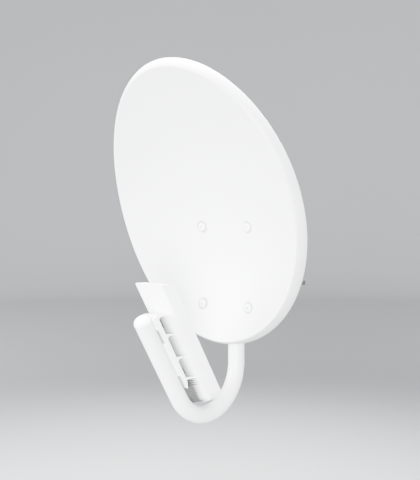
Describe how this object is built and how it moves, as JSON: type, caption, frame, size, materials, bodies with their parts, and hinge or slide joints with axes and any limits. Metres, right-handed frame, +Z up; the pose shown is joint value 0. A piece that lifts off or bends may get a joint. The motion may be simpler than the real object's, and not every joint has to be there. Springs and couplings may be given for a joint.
{
  "type": "wireless dish antenna",
  "caption": "Leaning offset dish on a J-shaped tube arm that holds a slim feed radio in front of it, with a tilt bracket and a mast plate behind.",
  "frame": {"origin": "centre of the mast bracket's flat rear face", "axes": "+Z up; +Y backwards, out of the mast bracket's rear face; the dish looks towards -Y; +X to the right seen from in front with the viewer looking along +Y"},
  "size_m": [0.34, 0.2866, 0.5046],
  "materials": {
    "white_paint": "satin white powder coat",
    "white_plastic": "satin white moulded plastic",
    "black_rubber": "matt black rubber",
    "zinc_steel": "zinc plated"
  },
  "bodies": {
    "root": {"dish_reflector": "white_paint", "dish_bolt_1": "white_paint", "dish_bolt_2": "white_paint", "dish_bolt_3": "white_paint", "dish_bolt_4": "white_paint", "dish_spacer_1": "black_rubber", "dish_spacer_2": "black_rubber", "dish_spacer_3": "black_rubber", "dish_spacer_4": "black_rubber", "dish_nut_1": "zinc_steel", "dish_nut_2": "zinc_steel", "dish_nut_3": "zinc_steel", "dish_nut_4": "zinc_steel", "arm_tube": "white_paint", "arm_tip_cap": "white_plastic", "arm_top_plug": "black_rubber", "feed_housing": "white_plastic", "feed_cover": "white_plastic", "port_cover": "white_plastic", "feed_cradle": "white_plastic", "dish_bracket": "white_paint", "arm_strap_lower": "white_paint", "arm_strap_upper": "white_paint", "strap_bolt_1": "zinc_steel", "strap_bolt_2": "zinc_steel", "strap_bolt_3": "zinc_steel", "strap_bolt_4": "zinc_steel", "strap_nut_1": "zinc_steel", "strap_nut_2": "zinc_steel", "strap_nut_3": "zinc_steel", "strap_nut_4": "zinc_steel", "mast_bracket": "white_paint", "pivot_bolt": "zinc_steel", "pivot_nut": "zinc_steel", "pivot_washer_left": "zinc_steel", "pivot_washer_right": "zinc_steel", "lock_bolt": "zinc_steel", "lock_nut": "zinc_steel", "lock_washer_left": "zinc_steel", "lock_washer_right": "zinc_steel"}
  },
  "joints": []
}
